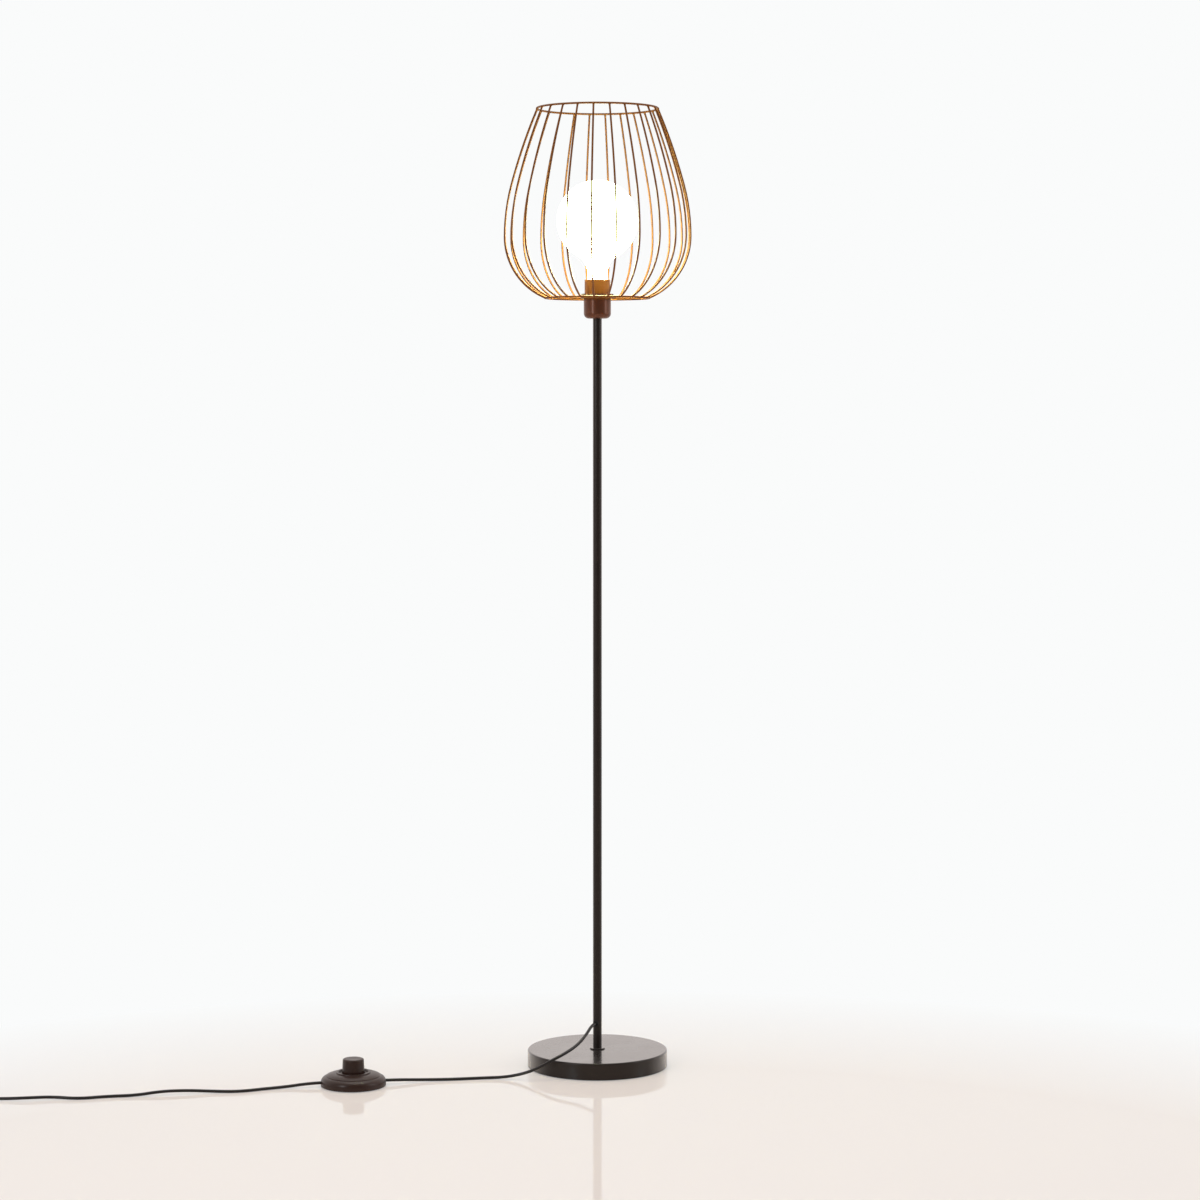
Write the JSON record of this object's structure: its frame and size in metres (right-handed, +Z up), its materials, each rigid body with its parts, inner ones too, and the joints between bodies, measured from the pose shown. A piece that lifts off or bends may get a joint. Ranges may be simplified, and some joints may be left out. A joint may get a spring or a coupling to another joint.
{
  "type": "floor lamp",
  "caption": "Floor lamp with a round weighted foot, a thin black pole, a globe bulb in an open cage of 24 bent wires, and a corded foot switch.",
  "frame": {"origin": "on the floor, on the axis of the pole", "axes": "+Z up along the pole, -Y the front, from which the cord leaves the pole, -X the side on which the foot switch lies"},
  "size_m": [1.1494, 0.3859, 1.5001],
  "materials": {
    "black_powder_coat": "satin black powder coat",
    "bronze_lacquer": "satin dark bronze lacquer",
    "copper_brown_wire": "satin copper brown lacquer on steel wire",
    "cast_iron_raw": "raw",
    "zinc_steel": "zinc plated",
    "brass_plain": "plain",
    "nickel_plate": "nickel plated",
    "solder_tip": "tinned",
    "porcelain_white": "unglazed",
    "opal_glass": "opal, satin",
    "black_glass": "gloss",
    "rubber_black": "matt",
    "switch_plastic": "satin black-brown",
    "plug_plastic": "satin black",
    "cord_black": "smooth sheath"
  },
  "bodies": {
    "lamp": {"base_pad": "rubber_black", "base_weight": "cast_iron_raw", "base_cover": "black_powder_coat", "base_washer": "zinc_steel", "base_nut": "zinc_steel", "pole_foot_stud": "zinc_steel", "pole_foot_collar": "black_powder_coat", "pole_foot_bush": "zinc_steel", "pole_tube_lower": "black_powder_coat", "pole_joiner_lower": "zinc_steel", "pole_tube_middle": "black_powder_coat", "pole_joiner_upper": "zinc_steel", "pole_tube_upper": "black_powder_coat", "pole_top_bush": "zinc_steel", "cord_exit_grommet": "rubber_black", "pole_cable": "cord_black", "holder_nipple": "zinc_steel", "holder_nut": "zinc_steel", "holder_cap": "bronze_lacquer", "holder_leads": "cord_black", "holder_insert": "porcelain_white", "holder_terminal_screws": "brass_plain", "holder_contact": "brass_plain", "holder_screw_shell": "brass_plain", "holder_body": "bronze_lacquer", "holder_shade_ring": "bronze_lacquer", "cage_bottom_ring": "copper_brown_wire", "cage_top_ring": "copper_brown_wire", "cage_wires": "copper_brown_wire", "cage_fitter_ring": "copper_brown_wire", "cage_arms": "copper_brown_wire", "switch_feet": "rubber_black", "switch_base": "switch_plastic", "switch_cover": "switch_plastic", "switch_screws": "zinc_steel", "switch_cord_clamps": "switch_plastic", "switch_terminals": "brass_plain", "switch_leads": "cord_black", "switch_mechanism": "porcelain_white", "switch_spring": "zinc_steel", "plug_body": "plug_plastic", "plug_strain_relief": "plug_plastic", "plug_pins": "nickel_plate", "coil_tie": "plug_plastic", "cord_pole_to_switch": "cord_black", "cord_switch_to_coil": "cord_black", "cord_coil": "cord_black", "cord_coil_to_plug": "cord_black"},
    "bulb_foot": {"bulb_insulator": "black_glass", "bulb_tip_contact": "solder_tip"},
    "bulb": {"bulb_globe": "opal_glass", "bulb_screw_cap": "nickel_plate"},
    "switch_button": {"switch_button": "switch_plastic"}
  },
  "joints": [
    {"name": "bulb_lift", "type": "slide", "parent": "lamp", "child": "bulb_foot", "axis": [0, 0, 1], "range_m": [0, 0.01271]},
    {"name": "bulb_turn", "type": "hinge", "parent": "bulb_foot", "child": "bulb", "pos_m": [0, 0, 1.326], "axis": [0, 0, 1], "range_deg": [0, 1260]},
    {"name": "switch_press", "type": "slide", "parent": "lamp", "child": "switch_button", "axis": [0, 0, -1], "range_m": [0, 0.004], "stiffness_N_per_m": 600, "deforming": ["switch_spring"]}
  ],
  "couplings": [
    {"joint": "bulb_lift", "follows": "bulb_turn", "m_per_rad": 0.00057757}
  ]
}
